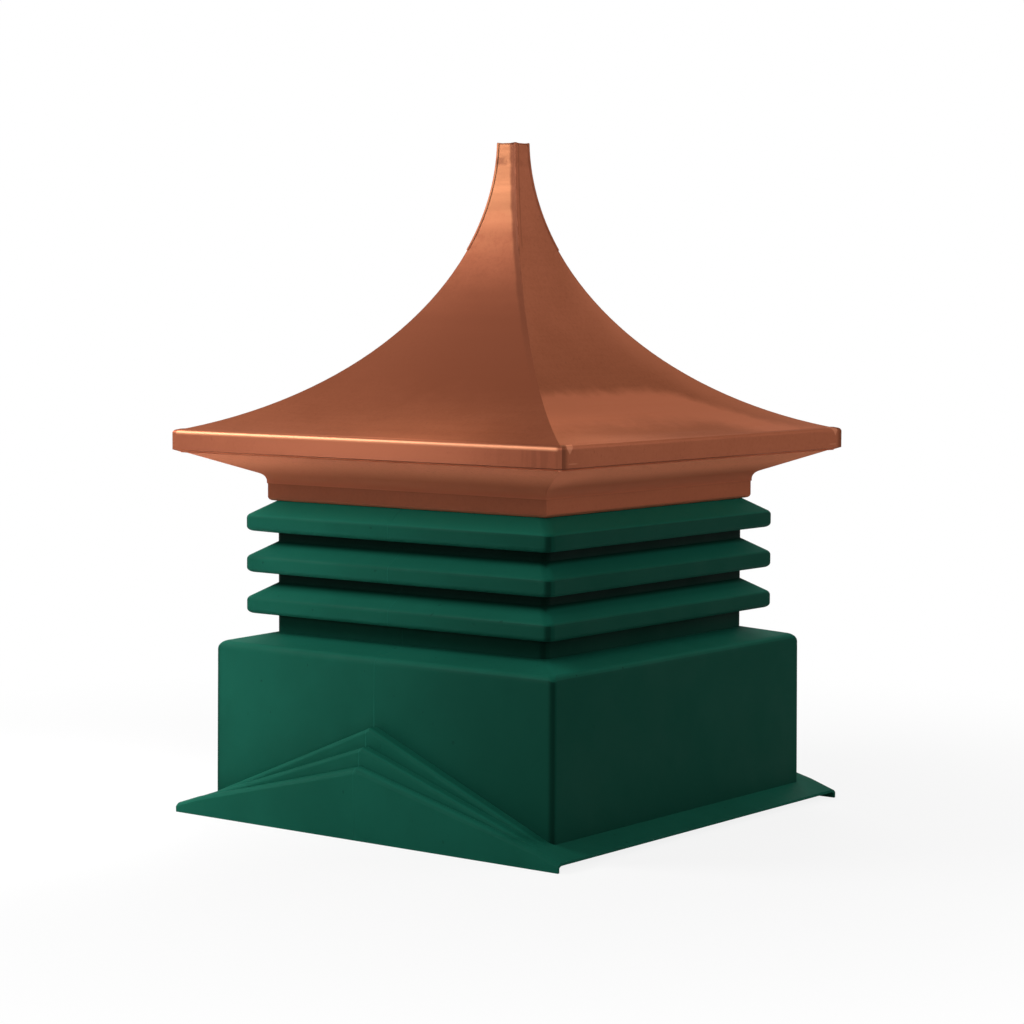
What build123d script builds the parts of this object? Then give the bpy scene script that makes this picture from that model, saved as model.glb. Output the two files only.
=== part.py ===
"""Square ridge cupola: moulded louvred body with a stepped saddle base, under a bell-cast copper roof.

Millimetres. Origin at the middle of the underside, +Z up, the ridge of the roof below runs along Y.
"""
from build123d import *
from math import acos, atan, cos, pi, radians, sin, sqrt, tan
import os

# saddle base
base_z = 24.5
wall_bottom_half = 290.5
side_flange = 36.6
side_pitch = 4 / 12
step_pitches = (5 / 12, 4 / 12, 3 / 12)
step_depths = (16.0, 14.0, 12.0)
step_rounds = (6.0, 6.0, 11.0)
skirt_draft = 2.0
# moulded walls, shoulder, neck and louvres
wall = 3.6
wall_corner_round = 7.0
wall_height = 209.8
wall_draft = 1.2
shoulder_rise = 12.7
shoulder_round = 12.0
neck_half = 231.7
neck_corner_round = 12.0
neck_foot_gap = 23.3
neck_head = 21.1
rim_width = 30.0
louvre_count = 3
louvre_pitch = 56.6
louvre_projection = 30.8
louvre_top_slope = 33.4
louvre_tip_height = 20.5
louvre_under_rise = 4.5
tip_top_round = 7.0
tip_bottom_round = 6.4
# copper sheet
sheet = 1.0
deck_thick = 12.0
band_stand_off = 6.8
band_lip_gap = 0.8
band_curl = 5.5
band_seat = 0.5
flange_lap = 10.0
soffit_pitch = 22.2
soffit_cove = 12.0
roof_half = 330.0
trim_height = 25.3
trim_lip = 8.0
trim_bend = 5.0
panel_turn_down = 12.0
roof_height = 393.1
roof_overrun = 8.2
apex_half = 14.9
apex_cap_thick = 1.2
hip_seam_width = 4.0
hip_seam_height = 145.8

# heights, from the base up
shoulder_edge_z = base_z + wall_height
shoulder_neck_z = shoulder_edge_z + shoulder_rise
louvre_fall = louvre_projection * tan(radians(louvre_top_slope))
louvre_height = louvre_fall + louvre_tip_height + louvre_under_rise
louvre_top_z = shoulder_neck_z + neck_foot_gap + louvre_height + (louvre_count - 1) * louvre_pitch
deck_bottom_z = louvre_top_z + neck_head
deck_top_z = deck_bottom_z + deck_thick

# half-widths, from the neck out
louvre_half = neck_half + louvre_projection
wall_top_half = wall_bottom_half - wall_draft
band_outer = neck_half + band_stand_off
band_inner = band_outer - sheet
flange_outer = band_outer + sheet
panel_outer = roof_half - sheet
lip_r = roof_half - trim_lip
cap_half = apex_half + sheet
reach = 2 * roof_half

# soffit underside, eave and roof arc
soffit_slope = tan(radians(soffit_pitch))
sheet_drop = sheet / cos(radians(soffit_pitch))
soffit_foot_z = deck_top_z + sheet
trim_bottom_z = soffit_foot_z + (roof_half - flange_outer) * soffit_slope - sheet_drop
eave_z = trim_bottom_z + trim_height
roof_top_z = eave_z + roof_height
roof_run = roof_half - apex_half
arc_centre_z = roof_top_z + roof_overrun
arc_radius = (roof_run**2 + (arc_centre_z - eave_z) ** 2) / (2 * roof_run)
arc_centre_r = apex_half + arc_radius


def arc_z(r, radius):
    """Height of a roof arc of this radius at half-width r."""
    return arc_centre_z - (radius**2 - (arc_centre_r - r) ** 2) ** 0.5


def arc_r(z, radius):
    """Half-width of a roof arc of this radius at height z."""
    return arc_centre_r - (radius**2 - (arc_centre_z - z) ** 2) ** 0.5


def soffit_z(r):
    """Height of the soffit's underside at half-width r."""
    return soffit_foot_z + (r - flange_outer) * soffit_slope


def roof_arc(low_r, high_r, radius):
    """Stretch of the roof arc of this radius between two half-widths."""
    low_z = arc_z(low_r, radius)
    high_z = arc_z(high_r, radius)
    middle_z = (low_z + high_z) / 2
    return ThreePointArc((low_r, low_z), (arc_r(middle_z, radius), middle_z), (high_r, high_z))


def near(face, point):
    """Corners of a flat outline at this half-width and height, on either side of the axis."""
    r, z = tuple(point)[:2]
    return [v for v in face.vertices() if abs(abs(v.X) - r) < 0.01 and abs(v.Y - z) < 0.01]


def along_y(outline, half_length):
    """Prism along Y of an outline drawn as half-width and height."""
    return extrude(Plane.XZ * outline, amount=half_length, both=True)


def square_solid(outline):
    """Solid with the same outline from the front and from the side."""
    prism = along_y(outline, reach)
    return prism & (Rot(0, 0, 90) * prism)


def front_piece(outline):
    """Folded sheet on the front side, mitred at both corners."""
    bar = extrude(Plane.YZ * mirror(outline, Plane.YZ), amount=reach, both=True)
    plan = make_face(Polyline((0, 0), (-reach, -reach), (reach, -reach), close=True))
    return bar & extrude(plan, amount=2 * reach)


def save(node, solid):
    """Write one node."""
    export_step(solid, f"parts/{node}.step")


os.makedirs("parts", exist_ok=True)
sides = {"front": 0, "right": 90, "back": 180, "left": 270}
corners = {"front_right": 0, "back_right": 90, "back_left": 180, "front_left": 270}

# roof panels: curved sheet turned down inside the eave trim
face_arc = roof_arc(panel_outer, arc_r(roof_top_z, arc_radius), arc_radius)
back_arc = roof_arc(panel_outer - sheet, arc_r(roof_top_z, arc_radius + sheet), arc_radius + sheet)
turn_down_z = eave_z - panel_turn_down
turn_down = Polyline(
    back_arc @ 0, (panel_outer - sheet, turn_down_z), (panel_outer, turn_down_z), face_arc @ 0
)
panel_outline = make_face([face_arc, Line(face_arc @ 1, back_arc @ 1), back_arc, turn_down])
panel_outline = fillet(near(panel_outline, face_arc @ 0), trim_bend - sheet)
panel_outline = fillet(near(panel_outline, back_arc @ 0), trim_bend - 2 * sheet)
roof_panel = front_piece(panel_outline)

# eave trims: channel hooked over the panel above and under the soffit below
lip_arc = roof_arc(roof_half, lip_r, arc_radius - sheet)
seat_arc = roof_arc(panel_outer, lip_r, arc_radius)
channel = Polyline(
    seat_arc @ 0,
    (panel_outer, soffit_z(panel_outer)),
    (lip_r, soffit_z(lip_r)),
    (lip_r, soffit_z(lip_r) - sheet_drop),
    (roof_half, trim_bottom_z),
    lip_arc @ 0,
)
trim_outline = make_face([lip_arc, Line(lip_arc @ 1, seat_arc @ 1), seat_arc, channel])
trim_outline = fillet(near(trim_outline, lip_arc @ 0), trim_bend)
trim_outline = fillet(near(trim_outline, seat_arc @ 0), trim_bend - sheet)
edge_trim = front_piece(trim_outline)

# soffits: sloped sheet with a flange up inside the trim and a flange down over the neck band
cove = (flange_outer, soffit_z(flange_outer))
cove_back = (band_outer, soffit_z(band_outer) + sheet_drop)
soffit_outline = make_face(
    Polyline(
        (panel_outer, soffit_z(panel_outer)),
        (panel_outer, soffit_z(panel_outer) + flange_lap),
        (panel_outer - sheet, soffit_z(panel_outer) + flange_lap),
        (panel_outer - sheet, soffit_z(panel_outer - sheet) + sheet_drop),
        cove_back,
        (band_outer, deck_top_z - flange_lap),
        (flange_outer, deck_top_z - flange_lap),
        cove,
        close=True,
    )
)
soffit_outline = fillet(near(soffit_outline, cove), soffit_cove)
soffit_outline = fillet(near(soffit_outline, cove_back), soffit_cove + sheet)
soffit = front_piece(soffit_outline)

# neck bands: strip behind the soffit flange, curled in at the foot onto the top louvre
band_bottom_z = louvre_top_z - band_seat
band_outline = make_face(
    Polyline(
        (band_outer, deck_top_z),
        (band_inner, deck_top_z),
        (band_inner, band_bottom_z + sheet),
        (neck_half + band_lip_gap, band_bottom_z + sheet),
        (neck_half + band_lip_gap, band_bottom_z),
        (band_outer, band_bottom_z),
        close=True,
    )
)
band_outline = fillet(near(band_outline, (band_outer, band_bottom_z)), band_curl)
band_outline = fillet(near(band_outline, (band_inner, band_bottom_z + sheet)), band_curl - sheet)
neck_band = front_piece(band_outline)

for name, turn in sides.items():
    save(f"roof_panel_{name}", Rot(0, 0, turn) * roof_panel)
    save(f"edge_trim_{name}", Rot(0, 0, turn) * edge_trim)
    save(f"soffit_{name}", Rot(0, 0, turn) * soffit)
    save(f"neck_band_{name}", Rot(0, 0, turn) * neck_band)


def bell_top(radius):
    """Solid under a roof arc, from the foot of the hip seams to the top."""
    foot_r = arc_r(roof_top_z - hip_seam_height, radius)
    side = roof_arc(foot_r, arc_r(roof_top_z, radius), radius)
    other = mirror(side, Plane.YZ)
    return square_solid(
        make_face([side, Line(side @ 1, other @ 1), other, Line(other @ 0, side @ 0)])
    )


# hip seams: folded strips over the upper hips
seam_slab = Rot(0, 0, -45) * Box(
    reach, hip_seam_width, roof_top_z, align=(Align.MIN, Align.CENTER, Align.MIN)
)
hip_seam = (bell_top(arc_radius - sheet) - bell_top(arc_radius)) & seam_slab
for name, turn in corners.items():
    save(f"hip_seam_{name}", Rot(0, 0, turn) * hip_seam)

low_middle = (Align.CENTER, Align.CENTER, Align.MIN)
apex_cap = Box(2 * cap_half, 2 * cap_half, apex_cap_thick, align=low_middle)
save("apex_cap", Pos(0, 0, roof_top_z) * apex_cap)

roof_deck = Box(2 * band_inner, 2 * band_inner, deck_thick, align=low_middle)
save("roof_deck", Pos(0, 0, deck_bottom_z) * roof_deck)


# moulded body: louvred neck on a box with a sloped shoulder
def polygon(right):
    """Outline through these right-hand points, given from the top down, and their mirror images."""
    left = [(-r, z) for r, z in reversed(right)]
    return make_face(Polyline(*right, *left, close=True))


def neck_points(foot_z):
    """Right-hand points of the louvred neck, and its louvre tips with their radii."""
    points = [(neck_half, deck_bottom_z)]
    tips = []
    for step in range(louvre_count):
        top = louvre_top_z - step * louvre_pitch
        tip_top = (louvre_half, top - louvre_fall)
        tip_bottom = (louvre_half, top - louvre_fall - louvre_tip_height)
        points += [(neck_half, top), tip_top, tip_bottom, (neck_half, top - louvre_height)]
        tips += [(tip_top, tip_top_round), (tip_bottom, tip_bottom_round)]
    return points + [(neck_half, foot_z)], tips


def box_points(foot_z):
    """Right-hand points of the box below the neck, and its shoulder edge with its radius."""
    edge = (wall_top_half, shoulder_edge_z)
    points = [(neck_half, shoulder_neck_z), edge, (wall_bottom_half, base_z), (wall_bottom_half, foot_z)]
    return points, [(edge, shoulder_round)]


def inset(points):
    """Right-hand points of an outline, from the top down, each line moved in by one wall."""
    (top_r, top_z), (foot_r, foot_z) = points[0], points[-1]
    chain = [(top_r - 1, top_z), *points, (foot_r - 1, foot_z)]
    normals = []
    for (r1, z1), (r2, z2) in zip(chain, chain[1:]):
        length = sqrt((r2 - r1) ** 2 + (z2 - z1) ** 2)
        normals.append(((z2 - z1) / length, (r1 - r2) / length))
    moved = []
    for (r, z), (r1, z1), (r2, z2) in zip(points, normals, normals[1:]):
        reach_in = wall / (1 + r1 * r2 + z1 * z2)
        moved.append((r + reach_in * (r1 + r2), z + reach_in * (z1 + z2)))
    return moved


def corner_cutters(outline, radius):
    """Solids that round the four upright corners, swept down the mitre line without turning."""
    clear = 0.02
    inward = radius - clear
    on_mitre = Matrix([[1, 0, 1, -inward], [1, 0, -1, -inward], [0, 1, 0, 0]])
    path = []
    for edge in outline.face().outer_wire().edges():
        if (edge @ 0.5).X > inward and abs((edge @ 0).Y - (edge @ 1).Y) > clear:
            path.append(edge.transform_geometry(on_mitre))
    path = Wire(path)
    top = max(path @ 0, path @ 1, key=lambda point: point.Z)
    lead = acos(1 - clear / 2 / radius)
    near_end = (radius * cos(lead), -radius * sin(lead))
    far_end = near_end[::-1]
    middle = (radius * cos(pi / 4), radius * cos(pi / 4))
    out = radius + wall
    section = make_face(
        [
            ThreePointArc(near_end, middle, far_end),
            Polyline(far_end, (far_end[0], out), (out, out), (out, near_end[1]), near_end),
        ]
    )
    cutter = sweep(Pos(top) * section, path, normal=(0, 0, 1))
    return [Rot(0, 0, turn) * cutter for turn in corners.values()]


def outer_solid(points, rounds, radius):
    """Square solid of this outline, rounded at the points named and down its upright corners."""
    outline = polygon(points)
    for point, point_radius in rounds:
        outline = fillet(near(outline, point), point_radius)
    return square_solid(outline) - corner_cutters(outline, radius)


def inner_solid(points, radius):
    """Square solid one wall inside this outline, with flats across its upright corners."""
    inside = inset(points)
    leg = (radius - wall) * (2 - sqrt(2))
    across = [((2 * r - leg) / sqrt(2), z) for r, z in inside]
    return square_solid(polygon(inside)) & (Rot(0, 0, 45) * square_solid(polygon(across)))


def saddle(half_tip, inward, drop, foot_z):
    """Three gable steps at each end, with side flanges, each step rounded over at its outer edge."""
    solid = Part()
    half_depth = wall_bottom_half - inward
    flange_z = base_z - (half_tip - wall_bottom_half) * side_pitch
    for pitch, depth, edge_round in zip(step_pitches, step_depths, step_rounds):
        half_depth += depth
        peak = base_z + pitch * wall_bottom_half
        right = [(wall_bottom_half, base_z - drop), (half_tip, flange_z - drop), (half_tip, foot_z)]
        left = [(-r, z) for r, z in reversed(right)]
        step = along_y(make_face(Polyline((0, peak - drop), *right, *left, close=True)), half_depth)
        ends = [e for e in step.edges() if abs((e @ 0).Y - (e @ 1).Y) < 1 and (e @ 0.5).Z > foot_z + 1]
        top_edges = [e for e in ends if abs((e @ 0).X - (e @ 1).X) > 1]
        solid += fillet(top_edges, edge_round - inward)
    beyond = half_depth + side_flange
    foot = -half_depth + skirt_draft * (peak - foot_z) / peak
    outside = Polyline((-half_depth, peak), (foot, foot_z), (-beyond, foot_z), (-beyond, peak), close=True)
    skirt_cut = extrude(Plane.YZ * make_face(outside), amount=reach, both=True)
    return solid - [Rot(0, 0, turn) * skirt_cut for turn in (0, 180)]


top_drop = wall / cos(atan(side_pitch))
rim_half = neck_half - rim_width
rim_opening = Pos(0, 0, deck_bottom_z) * Box(2 * rim_half, 2 * rim_half, 4 * wall)
outer_body = outer_solid(*neck_points(shoulder_edge_z), neck_corner_round)
outer_body += outer_solid(*box_points(0), wall_corner_round)
outer_body += saddle(wall_bottom_half + side_flange, 0, 0, 0)
inner_body = inner_solid(neck_points(shoulder_edge_z - 2 * wall)[0], neck_corner_round)
inner_body += inner_solid(box_points(-2 * wall)[0], wall_corner_round)
inner_body += saddle(wall_bottom_half + side_flange + 2 * wall, wall, top_drop, -wall)
moulded_body = outer_body - inner_body - rim_opening
save("moulded_body", moulded_body)
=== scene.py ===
"""Looks of the square ridge cupola: green moulded plastic under a bell-cast copper roof. Metres."""
from math import cos, pi, radians, sin

import bmesh
import bpy
from mathutils import Matrix, Vector, noise
from mathutils.bvhtree import BVHTree


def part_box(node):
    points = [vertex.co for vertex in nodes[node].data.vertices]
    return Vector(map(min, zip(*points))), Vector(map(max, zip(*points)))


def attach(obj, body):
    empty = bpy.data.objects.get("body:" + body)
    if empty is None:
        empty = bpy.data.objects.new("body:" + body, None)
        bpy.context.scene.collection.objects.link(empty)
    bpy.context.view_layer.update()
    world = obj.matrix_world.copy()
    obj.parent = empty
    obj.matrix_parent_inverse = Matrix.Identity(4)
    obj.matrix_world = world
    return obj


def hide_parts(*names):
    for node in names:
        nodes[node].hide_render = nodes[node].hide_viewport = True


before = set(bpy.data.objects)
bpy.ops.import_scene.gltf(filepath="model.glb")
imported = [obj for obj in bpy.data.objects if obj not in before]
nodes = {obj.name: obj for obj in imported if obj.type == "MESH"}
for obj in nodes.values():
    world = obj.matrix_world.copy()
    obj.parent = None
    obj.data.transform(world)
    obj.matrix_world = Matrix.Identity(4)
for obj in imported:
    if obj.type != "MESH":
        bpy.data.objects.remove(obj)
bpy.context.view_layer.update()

X = Vector((1, 0, 0))
Y = Vector((0, 1, 0))
Z = Vector((0, 0, 1))
side_turns = {"front": 0, "right": 90, "back": 180, "left": 270}
# the back is finished like the front, and the left like the right
finished_like = {"front": "front", "back": "front", "right": "right", "left": "right"}

# heights on the solids
eave_foot, eave_top = (corner.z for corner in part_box("edge_trim_right"))
band_foot, band_top = (corner.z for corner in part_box("neck_band_right"))
roof_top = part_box("roof_panel_right")[1].z
seam_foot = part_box("hip_seam_front_right")[0].z

# half-width of the moulded neck, a small gap inside the copper band
band_gap = 0.0008
front_band_low, front_band_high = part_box("neck_band_front")
neck_half = -front_band_high.y - band_gap

# undersides of the first and the last louvre, counted from the top
louvre_count = 3
louvre_pitch = 0.0566
first_louvre_drop = 0.0453
first_under = front_band_low.z - first_louvre_drop
last_under = first_under - (louvre_count - 1) * louvre_pitch


# ---------------------------------------------------------------- material helpers
class Paint:
    """A principled material and short calls for the nodes that feed it."""

    def __init__(self, name, metallic=0.0, roughness=0.5, specular=0.5):
        self.material = bpy.data.materials.new(name)
        self.material.use_nodes = True
        self.tree = self.material.node_tree
        self.shader = self.tree.nodes["Principled BSDF"]
        self.shader.inputs["Metallic"].default_value = metallic
        self.shader.inputs["Roughness"].default_value = roughness
        self.shader.inputs["Specular IOR Level"].default_value = specular
        self.places = self.add("ShaderNodeTexCoord").outputs["Object"]

    def add(self, kind, **settings):
        """New node of a kind with its settings."""
        node = self.tree.nodes.new(kind)
        for name, value in settings.items():
            setattr(node, name, value)
        return node

    def link(self, source, target):
        """Link an output to an input."""
        self.tree.links.new(source, target)

    def feed(self, name, source):
        """Link a source to an input of the shader."""
        self.link(source, self.shader.inputs[name])

    def stretched(self, scale):
        """Object places scaled by axis, so that a pattern runs along the axes with a small scale."""
        mapping = self.add("ShaderNodeMapping")
        mapping.inputs["Scale"].default_value = scale
        self.link(self.places, mapping.inputs["Vector"])
        return mapping.outputs["Vector"]

    def drawn_out(self, axis, across, along):
        """Object places in which a pattern is drawn out along one axis."""
        scale = list(across)
        scale[axis] = along
        return self.stretched(scale)

    def noise(self, scale, detail=2.0, roughness=0.5, places=None):
        """Soft random pattern about one half, finer with a larger scale."""
        node = self.add("ShaderNodeTexNoise")
        node.inputs["Scale"].default_value = scale
        node.inputs["Detail"].default_value = detail
        node.inputs["Roughness"].default_value = roughness
        self.link(places or self.places, node.inputs["Vector"])
        return node.outputs["Fac"]

    def fade(self, source, low, high, low_value=0.0, high_value=1.0):
        """Value that goes smoothly from low_value to high_value as the source goes from low to high."""
        node = self.add("ShaderNodeMapRange", interpolation_type="SMOOTHSTEP")
        numbers = (low, high, low_value, high_value)
        for name, number in zip(("From Min", "From Max", "To Min", "To Max"), numbers):
            node.inputs[name].default_value = number
        self.link(source, node.inputs["Value"])
        return node.outputs["Result"]

    def patches(self, start, end, low=0.0, high=1.0, **pattern):
        """Share that goes from low to high as a random pattern goes from start to end."""
        return self.fade(self.noise(**pattern), start, end, low, high)

    def between(self, source, start, full, still, end):
        """One from full to still, running out to nothing at start and end."""
        return self.product(self.fade(source, start, full), self.fade(source, still, end, 1.0, 0.0))

    def blend(self, factor, low, high):
        """Colour mixed between two colours or sockets by a factor or socket."""
        node = self.add("ShaderNodeMix", data_type="RGBA")
        sockets = [s for s in node.inputs if s.type == "RGBA"]
        for value, socket in ((factor, node.inputs[0]), (low, sockets[0]), (high, sockets[1])):
            if isinstance(value, bpy.types.NodeSocket):
                self.link(value, socket)
            elif socket.type == "RGBA":
                socket.default_value = (*value, 1)
            else:
                socket.default_value = value
        return next(s for s in node.outputs if s.type == "RGBA")

    def maths(self, operation, first, *others):
        """Sockets and numbers combined one after another by one operation."""
        for other in others:
            node = self.add("ShaderNodeMath", operation=operation)
            for value, socket in zip((first, other), node.inputs):
                if isinstance(value, bpy.types.NodeSocket):
                    self.link(value, socket)
                else:
                    socket.default_value = value
            first = node.outputs[0]
        return first

    def product(self, *values):
        """Values multiplied together."""
        return self.maths("MULTIPLY", *values)

    def total(self, *values):
        """Values added together."""
        return self.maths("ADD", *values)

    def ragged(self, depth, scale, detail, roughness=0.5):
        """Unevenness of a border, from nothing up to a depth."""
        return self.product(self.noise(scale, detail, roughness), depth)

    def along(self, axis):
        """Place along one axis of the object."""
        split = self.add("ShaderNodeSeparateXYZ")
        self.link(self.places, split.inputs[0])
        return split.outputs[axis]

    def above(self, level):
        """Height of a place above a level."""
        return self.maths("SUBTRACT", self.along("Z"), level)

    def below(self, level):
        """Depth of a place below a level."""
        return self.maths("SUBTRACT", level, self.along("Z"))

    def off_middle(self, axis):
        """Distance from the middle plane of the object along one axis."""
        return self.maths("ABSOLUTE", self.along(axis), 0.0)

    def half_width(self):
        """Half-width of the square that a place lies on."""
        return self.maths("MAXIMUM", self.off_middle("X"), self.off_middle("Y"))

    def past_corner(self):
        """Distance from the upright corner plane: below zero on front and back, above on the sides."""
        return self.maths("SUBTRACT", self.off_middle("X"), self.off_middle("Y"))

    def facing_up(self):
        """Upward share of the surface normal, one on a level face."""
        split = self.add("ShaderNodeSeparateXYZ")
        self.link(self.add("ShaderNodeTexCoord").outputs["Normal"], split.inputs[0])
        return split.outputs["Z"]

    def bump(self, height, distance, under=None):
        """Surface normal raised by a height, over another bump if there is one."""
        node = self.add("ShaderNodeBump")
        node.inputs["Distance"].default_value = distance
        self.link(height, node.inputs["Height"])
        if under:
            self.link(under, node.inputs["Normal"])
        return node.outputs["Normal"]


# ---------------------------------------------------------------- green moulded plastic
body_tones = ((0.0070, 0.094, 0.061), (0.0056, 0.081, 0.052))
# parting line lighter than the body: a painted highlight along the raised line
parting_tones = ((0.0100, 0.128, 0.086), (0.0086, 0.112, 0.074))
speck_green = (0.004, 0.058, 0.038)
# colours of the painted light on the shelf, slopes and ledges, and of the painted shade on upright faces,
# corners and grooves
shelf_green = (0.0115, 0.148, 0.097)
slope_green = (0.0098, 0.126, 0.083)
ledge_green = (0.0090, 0.117, 0.077)
shaded_green = (0.0035, 0.048, 0.031)
painted_shade_dark = (0.0008, 0.010, 0.0065)

# half-widths where the outermost skirt starts and where the grooves end
skirt_start = (0.2920, 0.2955)
groove_depth = (neck_half + 0.001, neck_half + 0.010)
# shading of the upright faces: places along X with its two shares, places past the corner
shade_run = (-0.14, 0.27)
shade_range = (0.12, 0.85)
side_start = (0.0, 0.01)
side_share = 0.51
dark_corner = (-0.011, -0.004, 0.001, 0.005)
dark_corner_share = 0.5
# painted light on slopes and ledges: the two shares off and on the sides, and the half of the body towards
# +X
slope_corner = (-0.005, 0.005)
slope_range = (0.3, 0.8)
ledge_half = (-0.002, 0.002)
# heights of the ledges and of the shoulder, and heights above the underside of a louvre
ledge_heights = (0.030, 0.045, 0.175, 0.190)
shoulder_heights = (0.222, 0.236)
slope_top = (0.010, 0.016)
shelf_foot = (0.022, 0.028)
shelf_share = 0.9
groove_top = (0.0, 0.006)
last_groove_top = (-0.006, 0.004)
last_groove_share = 0.55
# fall of the painted shade below a louvre, with its two shares
groove_shade_fall = (0.0, 0.026)
groove_shade_range = (0.98, 0.65)
# upward shares of the normal
upright_facing = (0.35, 0.60)
slope_facing = (0.60, 0.80)
ledge_facing = (0.55, 0.85)

ripple_depth = 0.0008
peel_depth = 0.00006


def lit_shelf(paint, colour):
    """Painted light: a paler shelf on top of the first louvre, where the eave casts shade."""
    shelf = paint.fade(paint.above(first_under), *shelf_foot, 0.0, shelf_share)
    return paint.blend(shelf, colour, shelf_green)


def shaded_uprights(paint, colour):
    """Painted shade: upright faces inside the skirt darker along X and on the sides, with a dark line at
    the corners.
    """
    upright = paint.fade(paint.facing_up(), *upright_facing, 1.0, 0.0)
    upright = paint.product(upright, paint.fade(paint.half_width(), *skirt_start, 1.0, 0.0))
    along_gable = paint.fade(paint.along("X"), *shade_run, *shade_range)
    on_sides = paint.fade(paint.past_corner(), *side_start, 0.0, side_share)
    shading = paint.maths("MAXIMUM", along_gable, on_sides)
    colour = paint.blend(paint.product(upright, shading), colour, shaded_green)
    line = paint.between(paint.past_corner(), *dark_corner)
    return paint.blend(paint.product(line, upright, dark_corner_share), colour, painted_shade_dark)


def lit_slopes(paint, colour):
    """Painted light: paler slopes between the shoulder and the first louvre, above all on the sides."""
    over_shoulder = paint.fade(paint.along("Z"), *shoulder_heights)
    under_first = paint.fade(paint.above(first_under), *slope_top, 1.0, 0.0)
    facing = paint.fade(paint.facing_up(), *slope_facing)
    share = paint.fade(paint.past_corner(), *slope_corner, *slope_range)
    return paint.blend(paint.product(over_shoulder, under_first, facing, share), colour, slope_green)


def lit_ledges(paint, colour):
    """Painted light: paler low ledges on the half of the body towards +X."""
    facing = paint.fade(paint.facing_up(), *ledge_facing)
    bleached_half = paint.fade(paint.along("X"), *ledge_half)
    heights = paint.between(paint.along("Z"), *ledge_heights)
    return paint.blend(paint.product(facing, bleached_half, heights), colour, ledge_green)


def shaded_grooves(paint, colour):
    """Painted shade in the grooves between the louvres, thinner further under each louvre and in the last
    groove.
    """
    deep = paint.fade(paint.half_width(), *groove_depth, 1.0, 0.0)
    below_first = paint.fade(paint.above(first_under), *groove_top, 1.0, 0.0)
    under = paint.maths("MODULO", paint.below(first_under), louvre_pitch)
    thinning = paint.fade(under, *groove_shade_fall, *groove_shade_range)
    last = paint.fade(paint.above(last_under), *last_groove_top, last_groove_share, 1.0)
    return paint.blend(paint.product(deep, below_first, thinning, last), colour, painted_shade_dark)


green_painted_light = (lit_shelf, shaded_uprights, lit_slopes, lit_ledges, shaded_grooves)


def green_plastic(name, base, shade):
    """Moulded polyethylene: mottled green, matt, with faint orange peel, a few specks, and painted light
    and shade.
    """
    paint = Paint(name, roughness=0.6, specular=0.03)
    mottle = paint.patches(start=0.35, end=0.65, scale=7.0, detail=5.0, roughness=0.6)
    colour = paint.blend(mottle, shade, base)
    specks = paint.patches(start=0.83, end=0.87, scale=120.0, detail=0.0)
    colour = paint.blend(specks, colour, speck_green)
    for mark in green_painted_light:
        colour = mark(paint, colour)
    paint.feed("Base Color", colour)
    handling = paint.patches(start=0.3, end=0.7, low=0.55, high=0.65, scale=11.0, detail=3.0)
    paint.feed("Roughness", handling)
    ripple = paint.bump(paint.noise(scale=16.0, detail=2.0), ripple_depth)
    paint.feed("Normal", paint.bump(paint.noise(scale=260.0, detail=1.0), peel_depth, ripple))
    return paint.material


# ---------------------------------------------------------------- sheet copper
roof_tones = ((0.33, 0.105, 0.055), (0.26, 0.080, 0.041))
trim_tones = ((0.35, 0.109, 0.057), (0.30, 0.092, 0.048))
# copper of the crimped hems and the band edges: lighter raw metal, made lighter still as painted highlight
# against their shade
bright_tones = ((0.56, 0.186, 0.099), (0.46, 0.150, 0.080))
# soffits lighter than the sheet, the sides more so: painted light from below
soffit_tones = {
    "front": ((0.66, 0.216, 0.114), (0.56, 0.182, 0.096)),
    "right": ((0.95, 0.318, 0.170), (0.86, 0.286, 0.153)),
}
# bands darker than the sheet on the gabled faces: painted shade under the eaves
band_tones = {
    "front": ((0.22, 0.067, 0.035), (0.18, 0.056, 0.029)),
    "right": ((0.33, 0.102, 0.053), (0.28, 0.086, 0.045)),
}
mirror_tint = (0.8, 0.55, 0.45, 1)
# dark copper of tarnish pits and smudges, and of painted shade beside the hips and in the corner lap
tarnish_and_shade_dark = (0.115, 0.037, 0.021)
# brown of smears and of painted shade mid-face, gold of the painted highlight at the top of the roof
brown_shade_and_smears = (0.235, 0.070, 0.036)
highlight_gold = (0.30, 0.117, 0.057)
# painted reflection low on the side roof faces, and the lighter far hip
reflection_patch = (0.47, 0.150, 0.079)
far_hip_tone = (0.44, 0.145, 0.077)
# painted light on the foot of the bands and under the trim lips; painted shade at the foot of the soffits
# and at the front ends of the side soffits
band_foot_light = (0.46, 0.155, 0.083)
lip_underside_light = (0.80, 0.265, 0.140)
cove_foot = (0.345, 0.107, 0.055)
soffit_end = (0.62, 0.200, 0.105)
soffit_foot = (0.50, 0.160, 0.084)
trim_middle = (0.40, 0.127, 0.067)
trim_handled = (0.215, 0.064, 0.034)
trim_left_end = (0.27, 0.083, 0.044)
# painted highlights on the trim's upper bend and on the folded tab at its corner, then the light of a
# scratch
bend_light = (0.62, 0.245, 0.130)
tab_light = (0.50, 0.185, 0.102)
scratch_light = (0.46, 0.170, 0.092)

cloud_share = 0.6
streak_share = 0.16
grain_share = 0.32
pit_share = 0.35
smear_share = 0.55
smudge_share = 0.55
side_smudge_share = 0.35
hip_dark_share = 0.9
hip_light_share = 0.6
joint_share = 0.4
# scales of the rubbing and of the fine scratches, across and along the sheet
rub_across = (22.0, 22.0, 60.0)
rub_along = 2.5
scratch_across = (900.0, 900.0, 1400.0)
scratch_along = 40.0
scratch_depth = 0.00003
# roughness between the streaks and on them
streak_roughness = (0.36, 0.43)

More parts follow.
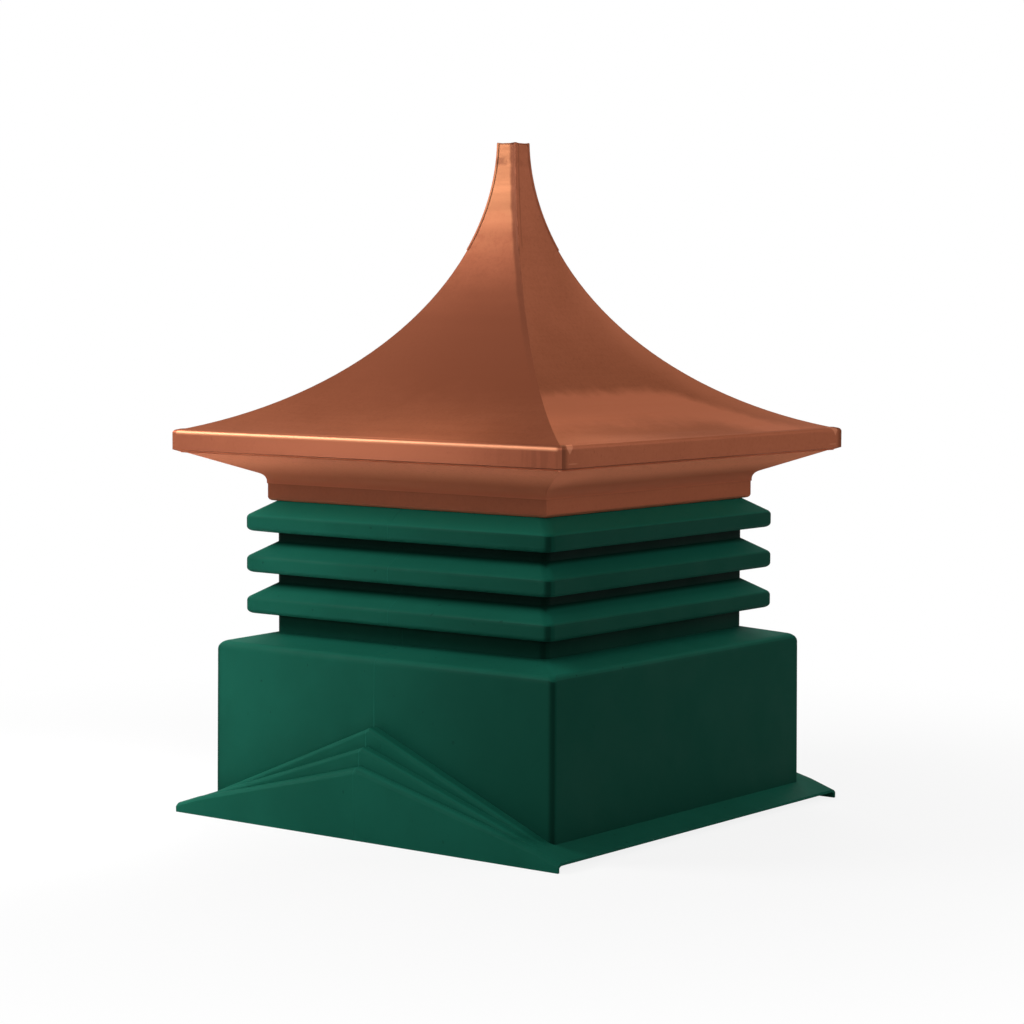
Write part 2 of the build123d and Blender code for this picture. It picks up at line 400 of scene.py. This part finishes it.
# depths below the top of the roof
gold_drop = (0.03, 0.14)
brown_drop = (0.11, 0.20, 0.28, 0.36)
smear_drop = (0.07, 0.12, 0.17, 0.24)
smudge_drop = (0.016, 0.023, 0.027, 0.034)
hip_drop = (0.09, 0.34)
# painted shade of the browner middle along X, with its two shares
brown_run = (-0.16, 0.04)
brown_range = (0.65, 0.95)
# heights of the painted reflection patch above the eave, and its fall along Y
patch_rise = (0.020, 0.045, 0.066, 0.082)
patch_run = (0.04, 0.29)
patch_fall = 0.060
# distances past the hip
hip_dark = (-0.0095, -0.0040, 0.0018, 0.0040)
seam_joint = (0.0060, 0.0070, 0.0080, 0.0090)
hip_light = (0.0, 0.10)
# the lighter hip along Y, and the joint line above the foot of the seams
hip_light_run = (0.03, 0.10)
joint_rise = (0.0, 0.006)
# half of the soft step from one side of a middle plane to the other
middle_step = 0.004
hip_step = 0.002


def copper(name, axis, tones, metallic=0.35, wave=0.0016, wear_and_light=()):
    """Sheet copper with cloudy tarnish, faint rubbing along one axis and slow waves in the sheet."""
    paint = Paint(name, metallic=metallic, roughness=0.4, specular=0.0)
    paint.shader.inputs["Specular Tint"].default_value = mirror_tint
    cloud = paint.patches(start=0.38, end=0.66, scale=4.5, detail=4.0, roughness=0.55)
    rub_places = paint.drawn_out(axis, rub_across, rub_along)
    streak = paint.patches(start=0.35, end=0.7, scale=1.0, detail=6.0, roughness=0.7, places=rub_places)
    grain = paint.patches(start=0.35, end=0.7, scale=190.0, detail=3.0, roughness=0.7)
    shares = ((cloud, cloud_share), (streak, streak_share), (grain, grain_share))
    worn = paint.total(*(paint.product(source, share) for source, share in shares))
    colour = paint.blend(worn, *tones)
    pits = paint.patches(start=0.55, end=0.75, high=pit_share, scale=210.0, detail=4.0, roughness=0.75)
    colour = paint.blend(pits, colour, tarnish_and_shade_dark)
    for mark in wear_and_light:
        colour = mark(paint, colour)
    paint.feed("Base Color", colour)
    paint.feed("Roughness", paint.fade(streak, 0.0, 1.0, *streak_roughness))
    waves = paint.bump(paint.noise(scale=6.0, detail=1.0), wave)
    scratch_places = paint.drawn_out(axis, scratch_across, scratch_along)
    scratches = paint.noise(scale=1.0, detail=3.0, places=scratch_places)
    paint.feed("Normal", paint.bump(scratches, scratch_depth, waves))
    return paint.material


def top_highlight_and_shade(paint, colour):
    """Painted highlight on the steep upper part, painted shade in the browner middle of the face under it,
    and brown smears between.
    """
    ragged = paint.ragged(depth=0.07, scale=14.0, detail=5.0, roughness=0.65)
    drop = paint.maths("SUBTRACT", paint.below(roof_top), ragged)
    middle = paint.between(drop, *brown_drop)
    middle = paint.product(middle, paint.fade(paint.along("X"), *brown_run, *brown_range))
    colour = paint.blend(middle, colour, brown_shade_and_smears)
    colour = paint.blend(paint.fade(drop, *gold_drop, 1.0, 0.0), colour, highlight_gold)
    smears = paint.patches(start=0.48, end=0.66, high=smear_share, scale=70.0, detail=5.0, roughness=0.75)
    smears = paint.product(smears, paint.between(paint.below(roof_top), *smear_drop))
    return paint.blend(smears, colour, brown_shade_and_smears)


def eave_reflection_and_far_hip(paint, colour):
    """Lighter far hip, and a painted reflection: a lighter patch low on the face whose wavy upper border
    falls along Y.
    """
    far_hip = paint.fade(paint.past_corner(), *hip_light, hip_light_share, 0.0)
    far_hip = paint.product(far_hip, paint.fade(paint.along("Y"), *hip_light_run))
    colour = paint.blend(far_hip, colour, far_hip_tone)
    ragged = paint.ragged(depth=0.036, scale=9.0, detail=6.0, roughness=0.68)
    fall = paint.fade(paint.along("Y"), *patch_run, 0.0, patch_fall)
    rise = paint.total(paint.above(eave_top), fall, ragged)
    return paint.blend(paint.between(rise, *patch_rise), colour, reflection_patch)


def hip_shade_and_tarnish(paint, colour):
    """Painted shade beside the hips towards +X, a thin dark joint line beside the front ones, and tarnish
    smudges.
    """
    corner = paint.past_corner()
    drop = paint.below(roof_top)
    ragged = paint.ragged(depth=0.005, scale=60.0, detail=4.0)
    beside = paint.between(paint.total(corner, ragged), *hip_dark)
    right_side = paint.fade(paint.along("X"), -middle_step, middle_step)
    beside = paint.product(beside, right_side, paint.fade(drop, *hip_drop, hip_dark_share, 0.0))
    over_foot = paint.fade(paint.above(seam_foot), *joint_rise, 0.0, joint_share)
    front_side = paint.fade(paint.along("Y"), -middle_step, middle_step, 1.0, 0.0)
    joint = paint.product(paint.between(corner, *seam_joint), over_foot, front_side)
    smudge = paint.patches(start=0.48, end=0.62, scale=85.0, detail=2.0)
    on_front = paint.fade(corner, -hip_step, hip_step, 1.0, side_smudge_share)
    smudge = paint.product(smudge, paint.between(drop, *smudge_drop), smudge_share, on_front)
    return paint.blend(paint.maths("MAXIMUM", beside, smudge, joint), colour, tarnish_and_shade_dark)


def seam_highlight_and_shade(paint, colour):
    """Front sides of the hip seams with the same painted highlight and shade as the panel beside them."""
    front = paint.fade(paint.past_corner(), -hip_step, 0.0, 1.0, 0.0)
    return paint.blend(front, colour, top_highlight_and_shade(paint, colour))


# places along the eave, with the share of each tone
soffit_end_run = (-0.33, -0.06)
soffit_end_share = 0.75
middle_run = (0.03, 0.26)
handled_run = (0.16, 0.32)
handled_share = 0.85
left_end_run = (-0.33, -0.24)
left_end_share = 0.6
brush_scale = (150.0, 150.0, 14.0)
# the painted highlight on the bend: depths below the top of the eave, and where it ends before the corner
bend_drop = (0.0010, 0.0036, 0.0052, 0.0082)
bend_end = (-0.010, -0.004)


def shaded_end(paint, colour):
    """Painted shade towards the front end of a side soffit."""
    front_end = paint.fade(paint.along("Y"), *soffit_end_run, soffit_end_share, 0.0)
    return paint.blend(front_end, colour, soffit_end)


def handled_face(paint, colour):
    """Trim face lighter in its middle and browner at both ends, with upright brush marks at one."""
    far = paint.fade(paint.off_middle("X"), *middle_run)
    colour = paint.blend(far, trim_middle, colour)
    brush_places = paint.stretched(brush_scale)
    brush = paint.patches(start=0.4, end=0.6, low=0.6, scale=1.0, detail=3.0, places=brush_places)
    handled = paint.fade(paint.along("X"), *handled_run, 0.0, handled_share)
    handled = paint.product(handled, brush)
    colour = paint.blend(handled, colour, trim_handled)
    left_end = paint.fade(paint.along("X"), *left_end_run, left_end_share, 0.0)
    return paint.blend(left_end, colour, trim_left_end)


def bend_highlight(paint, colour):
    """Painted highlight: a bright line along the upper bend of the trim, ending before the corner."""
    line = paint.between(paint.below(eave_top), *bend_drop)
    line = paint.product(line, paint.fade(paint.past_corner(), *bend_end, 1.0, 0.0))
    return paint.blend(line, colour, bend_light)


# painted shade in the lap, painted highlight on the tab, and a scratch at the corner: distances past the
# corner and depths below the top of the eave
lap_reach = (0.006, 0.016)
lap_share = 0.7
tab_share = 0.9
scratch_share = 0.8
tab_place = 0.0165
tab_half_width = (0.0055, 0.0072)
tab_slant = 0.8
tab_reach = (0.0080, 0.0104)
scratch_drop = (0.0222, 0.0230, 0.0236, 0.0244)
scratch_run = (0.012, 0.018, 0.026, 0.036)


def corner_lap_shade_and_tab(paint, colour):
    """Painted shade in the lap at the corner of the trim, a painted highlight on a folded tab beside it,
    and a scratch under that.
    """
    corner = paint.past_corner()
    drop = paint.below(eave_top)
    ragged = paint.ragged(depth=0.003, scale=130.0, detail=2.0)
    lap = paint.fade(paint.total(corner, ragged), *lap_reach, lap_share, 0.0)
    colour = paint.blend(lap, colour, tarnish_and_shade_dark)
    off_tab = paint.maths("ABSOLUTE", paint.maths("SUBTRACT", corner, tab_place), 0.0)
    slanted = paint.total(off_tab, paint.product(drop, tab_slant))
    tab = paint.fade(slanted, *tab_reach, tab_share, 0.0)
    tab = paint.product(tab, paint.fade(off_tab, *tab_half_width, 1.0, 0.0))
    colour = paint.blend(tab, colour, tab_light)
    scratch = paint.product(paint.between(drop, *scratch_drop), paint.between(corner, *scratch_run))
    return paint.blend(paint.product(scratch, scratch_share), colour, scratch_light)


def toned_low(level, start, end, tone):
    """Mark with a full tone up to start above a level and none from end upward."""

    def mark(paint, colour):
        return paint.blend(paint.fade(paint.above(level), start, end), tone, colour)

    return mark


# painted shade above the neck on the gabled and the side soffits, painted light on the foot of the bands
# and under the trim lip
shaded_cove = toned_low(band_top, start=-0.002, end=0.028, tone=cove_foot)
shaded_foot = toned_low(band_top, start=-0.002, end=0.022, tone=soffit_foot)
lit_band_foot = toned_low(band_foot, start=0.001, end=0.005, tone=band_foot_light)
lit_trim_lip = toned_low(eave_foot, start=0.0008, end=0.0022, tone=lip_underside_light)

plywood_tones = ((0.46, 0.30, 0.16), (0.62, 0.45, 0.27))
plywood_grain = (6.0, 90.0, 90.0)


def plywood():
    """Pale plywood with long grain."""
    paint = Paint("plywood", roughness=0.65)
    grain_places = paint.stretched(plywood_grain)
    grain = paint.patches(start=0.35, end=0.65, scale=1.0, detail=5.0, places=grain_places)
    paint.feed("Base Color", paint.blend(grain, *plywood_tones))
    return paint.material


# ---------------------------------------------------------------- materials of the solids
def set_material(node, material):
    """Give every slot of a solid the material."""
    for slot in node.material_slots:
        slot.material = material


# depths of the slow waves on trims and bands, on the seams, and on the raw edges
trim_wave = 0.0008
seam_wave = 0.0004
edge_metal_wave = 0.0002
copper_wear_and_light = {
    "front": {
        "roof": (top_highlight_and_shade, hip_shade_and_tarnish),
        "trim": (handled_face, bend_highlight, lit_trim_lip),
        "soffit": (shaded_cove,),
        "band": (lit_band_foot,),
    },
    "right": {
        "roof": (eave_reflection_and_far_hip, hip_shade_and_tarnish),
        "trim": (corner_lap_shade_and_tab, lit_trim_lip),
        "soffit": (shaded_end, shaded_foot),
        "band": (lit_band_foot,),
    },
}

green = green_plastic("green_plastic", *body_tones)
parting_green = green_plastic("green_parting", *parting_tones)
wood = plywood()
coppers = {}
for face, axis in (("front", 0), ("right", 1)):
    marks = copper_wear_and_light[face]
    coppers[face] = {
        "roof_panel": copper(f"roof_copper_{face}", axis, roof_tones, wear_and_light=marks["roof"]),
        "edge_trim": copper(f"trim_copper_{face}", axis, trim_tones, wave=trim_wave, wear_and_light=marks["trim"]),
        "soffit": copper(
            f"soffit_copper_{face}", axis, soffit_tones[face], metallic=0.0, wear_and_light=marks["soffit"]
        ),
        "neck_band": copper(
            f"band_copper_{face}", axis, band_tones[face], wave=trim_wave, wear_and_light=marks["band"]
        ),
    }
seam_copper = copper("seam_copper", 2, roof_tones, wave=seam_wave, wear_and_light=(seam_highlight_and_shade, hip_shade_and_tarnish))
bright_copper = copper("bright_copper", 0, bright_tones, wave=edge_metal_wave)

set_material(nodes["moulded_body"], green)
set_material(nodes["roof_deck"], wood)
set_material(nodes["apex_cap"], seam_copper)
for side, face in finished_like.items():
    for name, material in coppers[face].items():
        set_material(nodes[f"{name}_{side}"], material)
for name, node in nodes.items():
    if name.startswith("hip_seam"):
        set_material(node, seam_copper)


# ---------------------------------------------------------------- added pieces
def solid_from(name, points, faces):
    """Closed mesh object with its faces turned outward."""
    mesh = bpy.data.meshes.new(name)
    mesh.from_pydata(points, [], faces)
    shape = bmesh.new()
    shape.from_mesh(mesh)
    bmesh.ops.recalc_face_normals(shape, faces=shape.faces)
    shape.to_mesh(mesh)
    shape.free()
    mesh.shade_smooth()
    piece = bpy.data.objects.new(name, mesh)
    bpy.context.collection.objects.link(piece)
    return piece


def band_faces(here, there, count):
    """Faces between two rings of points that start at the given places."""
    steps = [(k, (k + 1) % count) for k in range(count)]
    return [(here + k, here + after, there + after, there + k) for k, after in steps]


def sweep(name, stations, section):
    """Closed mesh of a section carried along stations, each a place, a side and an up vector."""
    count = len(section)
    rings = len(stations)
    points = [place + side * a + up * b for place, side, up in stations for a, b in section]
    faces = []
    for ring in range(rings - 1):
        faces += band_faces(ring * count, (ring + 1) * count, count)
    faces.append(tuple(range(count)))
    faces.append(tuple(range((rings - 1) * count, rings * count)))
    return solid_from(name, points, faces)


def dress(piece, material):
    """Give an added piece its finish and let it move with the object."""
    piece.data.materials.append(material)
    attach(piece, "root")


def turned(stations, degrees):
    """Stations turned about the upright axis."""
    turn = Matrix.Rotation(radians(degrees), 3, "Z")
    return [(turn @ place, turn @ side, turn @ up) for place, side, up in stations]


# parting line of the mould, from the skirt up to the copper, on both gabled sides
parting_x = -0.0042
parting_width = 0.0016
parting_height = 0.00015
parting_step = 0.00025
ray_reach = 1.0
straight_within = radians(1)


def body_profile(surface, y_sign, low, high):
    """Outermost points of the body in the parting plane, without the points on straight runs."""
    count = int((high - low) / parting_step)
    points = []
    for k in range(count + 1):
        start = Vector((parting_x, y_sign * ray_reach, low + k * parting_step))
        hit = surface.ray_cast(start, -Y * y_sign)[0]
        if hit:
            points.append(hit)
    kept = [points[0]]
    for before, here, after in zip(points, points[1:], points[2:]):
        if (here - before).angle(after - here) > straight_within:
            kept.append(here)
    return kept + [points[-1]]


def add_parting_lines():
    """Raised lines that sink inward where they would pass the outermost skirt."""
    surface = BVHTree.FromObject(nodes["moulded_body"], bpy.context.evaluated_depsgraph_get())
    low_corner, high_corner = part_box("moulded_body")
    low = low_corner.z + parting_step
    half = parting_width / 2
    height = parting_height
    section = [(-half, -height), (-half / 3, height), (half / 3, height), (half, -height)]
    for side, y_sign in (("front", -1), ("back", 1)):
        points = body_profile(surface, y_sign, low, front_band_low.z)
        stations = []
        for before, here, after in zip([points[0]] + points, points, points[1:] + [points[-1]]):
            along = (after - before).normalized()
            outward = X.cross(along) * -y_sign
            sunk = max(0, abs(here.y) + height - high_corner.y)
            stations.append((here - Y * y_sign * sunk, X, outward))
        dress(sweep(f"parting_line_{side}", stations, section), parting_green)


# crimped hem under the eave trims
hem_step = 0.003
hem_width = 0.0022
hem_thick = 0.0008
hem_root = 0.0004
hem_end_gap = 0.002
crimp_scale = 240
crimp_row = 0
crimp_group_scale = 9
crimp_group_row = 3
crimp_strength = 2.2
crimp_inward = 0.0012
crimp_upward = 0.0006


def add_hems():
    """Thin strips that hang under the lips, crimped in uneven groups."""
    low_corner, high_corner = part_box("edge_trim_front")
    half_run = abs(high_corner.y) - hem_end_gap
    half = hem_width / 2
    count = int(2 * half_run / hem_step)
    section = [(-half, hem_root), (-half, -hem_thick / 2), (half, -hem_thick), (half, hem_root)]
    for side, degrees in side_turns.items():
        stations = []
        for k in range(count + 1):
            x = -half_run + k * hem_step
            fine = noise.noise(Vector((x * crimp_scale, degrees, crimp_row)))
            group = noise.noise(Vector((x * crimp_group_scale, degrees, crimp_group_row)))
            crimp = fine * group * crimp_strength
            y = high_corner.y - half - crimp_inward * abs(crimp)
            stations.append((Vector((x, y, low_corner.z + crimp_upward * crimp)), Y, Z))
        piece = sweep(f"crimped_hem_{side}", turned(stations, degrees), section)
        dress(piece, bright_copper)


# raw edge of the neck bands, a thin bright line just above the louvres, lighter in part as painted
# highlight
edge_radius = 0.0006
edge_sides = 8
edge_stations = 60
edge_inset = 0.0034
edge_lift = 0.0004
edge_wave = 0.0005
edge_wave_scale = 30
edge_wave_row = 7


def add_band_edges():
    """Thin rounds that follow the lower edges of the bands with a slight wave."""
    corner = front_band_high.x - edge_inset
    angles = [2 * pi * k / edge_sides for k in range(edge_sides)]
    section = [(edge_radius * cos(angle), edge_radius * sin(angle)) for angle in angles]
    for side, degrees in side_turns.items():
        stations = []
        for k in range(edge_stations + 1):
            x = -corner + 2 * corner * k / edge_stations
            wave = edge_wave * noise.noise(Vector((x * edge_wave_scale, degrees, edge_wave_row)))
            height = front_band_low.z + edge_radius + edge_lift + wave
            stations.append((Vector((x, -corner, height)), Y, Z))
        piece = sweep(f"band_edge_{side}", turned(stations, degrees), section)
        dress(piece, bright_copper)


# folded lid at the top: an uneven lip turned down over the four faces, lapped at the corners
lid_steps = 26
lid_lip = 0.0019
lid_lap = 0.0010
lid_lap_reach = 0.008
lid_sheet = 0.0007
lid_clear = 0.0002
lid_dish = 0.0006
lid_dish_inset = 0.002
lid_wave_scale = 260
# share and unevenness of the lip, then the shoulder, the rim, the fold behind it and the underside
lip_share = 0.75
lip_unevenness = 0.6
shoulder_lap_share = 0.8
rim_inset = 0.0006
rim_wave = 0.0002
fold_inset = 0.0040
fold_drop = 0.0004
fold_lap_share = 0.6
fold_wave = 0.0003
under_drop = 0.0008


def add_apex_lid():
    """Lid of rings of points from the foot of the lip over the rim to the dish, then back underneath."""
    low_corner, high_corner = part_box("apex_cap")
    half = high_corner.x
    corners = [Vector((half, -half, 0)), Vector((half, half, 0)), Vector((-half, half, 0))]
    corners.append(Vector((-half, -half, 0)))
    places = []
    for here, there in zip(corners, corners[1:] + corners[:1]):
        places += [here.lerp(there, k / lid_steps) for k in range(lid_steps)]
    count = len(places)
    laps = []
    for place in places:
        off_corner = min((place - corner).length for corner in corners)
        laps.append(lid_lap * max(0, 1 - off_corner / lid_lap_reach))
    waves = [noise.noise(place * lid_wave_scale) for place in places]
    top = high_corner.z - lid_lap - lid_clear
    dish = top - lid_dish
    dish_inset = half - lid_dish_inset
    uneven = list(zip(laps, waves))
    lip = [low_corner.z - lid_lip * (lip_share + lip_unevenness * wave) for wave in waves]
    shoulder = [dish + shoulder_lap_share * lap for lap in laps]
    rim = [top + lap + rim_wave * wave for lap, wave in uneven]
    fold = [top - fold_drop + fold_lap_share * lap + fold_wave * wave for lap, wave in uneven]
    rings = (
        (lid_sheet, lip),
        (0.0, lip),
        (0.0, shoulder),
        (rim_inset, rim),
        (fold_inset, fold),
        (dish_inset, [dish] * count),
        (dish_inset, [dish - lid_sheet] * count),
        (lid_sheet, [top - under_drop - lid_sheet] * count),
    )
    dish_ring = 5
    points = []
    for inset, heights in rings:
        points += [place * (1 - inset / half) + Z * height for place, height in zip(places, heights)]
    faces = []
    for ring in range(len(rings)):
        if ring != dish_ring:
            faces += band_faces(ring * count, (ring + 1) % len(rings) * count, count)
    faces.append(tuple(range(dish_ring * count, (dish_ring + 1) * count)))
    faces.append(tuple(range((dish_ring + 1) * count, (dish_ring + 2) * count)))
    lid = solid_from("apex_lid", points, faces)
    dress(lid, seam_copper)
    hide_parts("apex_cap")


add_parting_lines()
add_hems()
add_band_edges()
add_apex_lid()


# ---------------------------------------------------------------- stage, lamps and camera
view_azimuth = radians(37.58)
view_pitch = radians(4.479)
view_roll = radians(0.2)
view_distance = 3.7652
view_height = 0.705
lens = 95.75

forward = Vector((-sin(view_azimuth), cos(view_azimuth), 0))
rightward = Vector((cos(view_azimuth), sin(view_azimuth), 0))

floor_size = 24.0
floor_grey = (0.85, 0.85, 0.85, 1)
world_grey = (0.03, 0.03, 0.03, 1)
white = (1, 1, 1, 1)
# the floor keeps some of its shading near the object and is plain white further out
shadow_reach = (0.4, 1.5)
shadow_share = (0.86, 1.0)
aim_height = 0.5
lamp_aim = Z * aim_height
wash_distance = 0.95
wash_height = 0.9
wash_size = 0.6
wash_spread = radians(70)


def background_rays(add, link):
    """One for rays that see the background: from the camera, in mirrors and through glass."""
    rays = add("ShaderNodeLightPath").outputs
    seen = rays["Is Camera Ray"]
    for name in ("Is Glossy Ray", "Is Transmission Ray"):
        most = add("ShaderNodeMath")
        most.operation = "MAXIMUM"
        link(seen, most.inputs[0])
        link(rays[name], most.inputs[1])
        seen = most.outputs[0]
    return seen


def add_floor():
    """Pale floor that keeps the object's shadow and runs out to white."""
    bpy.ops.mesh.primitive_plane_add(size=floor_size)
    floor = bpy.context.object
    floor.name = "floor"
    paint = Paint("floor")
    paint.tree.nodes.remove(paint.shader)
    diffuse = paint.add("ShaderNodeBsdfDiffuse")
    diffuse.inputs["Color"].default_value = floor_grey
    glow = paint.add("ShaderNodeEmission")
    reach = paint.add("ShaderNodeVectorMath", operation="LENGTH")
    paint.link(paint.places, reach.inputs[0])
    share = paint.fade(reach.outputs["Value"], *shadow_reach, *shadow_share)
    mixed = paint.add("ShaderNodeMixShader")
    paint.link(paint.product(background_rays(paint.add, paint.link), share), mixed.inputs["Fac"])
    paint.link(diffuse.outputs["BSDF"], mixed.inputs[1])
    paint.link(glow.outputs["Emission"], mixed.inputs[2])
    paint.link(mixed.outputs["Shader"], paint.tree.nodes["Material Output"].inputs["Surface"])
    floor.data.materials.append(paint.material)


def add_world():
    """White where it is seen or mirrored, dim grey as a light."""
    world = bpy.data.worlds.new("studio")
    bpy.context.scene.world = world
    world.use_nodes = True
    tree = world.node_tree
    tree.nodes.clear()
    mixed = tree.nodes.new("ShaderNodeMixShader")
    for place, colour in ((1, world_grey), (2, white)):
        background = tree.nodes.new("ShaderNodeBackground")
        background.inputs["Color"].default_value = colour
        tree.links.new(background.outputs["Background"], mixed.inputs[place])
    tree.links.new(background_rays(tree.nodes.new, tree.links.new), mixed.inputs["Fac"])
    output = tree.nodes.new("ShaderNodeOutputWorld")
    tree.links.new(mixed.outputs["Shader"], output.inputs["Surface"])


def add_lamp(name, bearing, elevation, distance, size, power):
    """Soft square lamp on a sphere about the object, its bearing counted from the camera's right."""
    turn = radians(bearing)
    level = rightward * cos(turn) + forward * sin(turn)
    away = level * cos(radians(elevation)) + Z * sin(radians(elevation))
    lamp = bpy.data.lights.new(name, "AREA")
    lamp.shape = "SQUARE"
    lamp.size = size
    lamp.energy = power
    holder = bpy.data.objects.new(name, lamp)
    bpy.context.collection.objects.link(holder)
    holder.location = lamp_aim + away * distance
    holder.rotation_euler = away.to_track_quat("Z", "Y").to_euler()
    holder.visible_camera = False
    return holder


def add_floor_wash(name, bearing, power):
    """Narrow lamp straight down on the floor beside the object, which lights the eaves from below."""
    wash = add_lamp(name, bearing, elevation=0, distance=wash_distance, size=wash_size, power=power)
    wash.data.spread = wash_spread
    wash.location.z = wash_height
    wash.rotation_euler = (0, 0, 0)


def add_camera():
    """Camera at the height and angle of the view, looking slightly down."""
    camera = bpy.data.objects.new("camera", bpy.data.cameras.new("camera"))
    bpy.context.collection.objects.link(camera)
    camera.data.lens = lens
    camera.location = -forward * view_distance + Z * view_height
    look = forward * cos(view_pitch) - Z * sin(view_pitch)
    level = look.to_track_quat("-Z", "Y").to_matrix()
    camera.rotation_euler = (level @ Matrix.Rotation(view_roll, 3, "Z")).to_euler()
    bpy.context.scene.camera = camera


add_floor()
add_world()
add_lamp("key", bearing=186, elevation=25, distance=1.6, size=0.75, power=22)
add_lamp("side_fill", bearing=-5, elevation=20, distance=2.2, size=0.9, power=7)
add_lamp("steep_fill", bearing=0, elevation=50, distance=1.3, size=0.6, power=3.5)
add_lamp("back_light", bearing=90, elevation=30, distance=1.9, size=0.9, power=13)
add_lamp("front_fill", bearing=-125, elevation=15, distance=1.9, size=0.9, power=5.5)
add_lamp("right_fill", bearing=-50, elevation=15, distance=1.9, size=0.9, power=3.5)
add_floor_wash("floor_wash", bearing=180, power=4)
add_camera()
bpy.context.scene.view_settings.view_transform = "Standard"
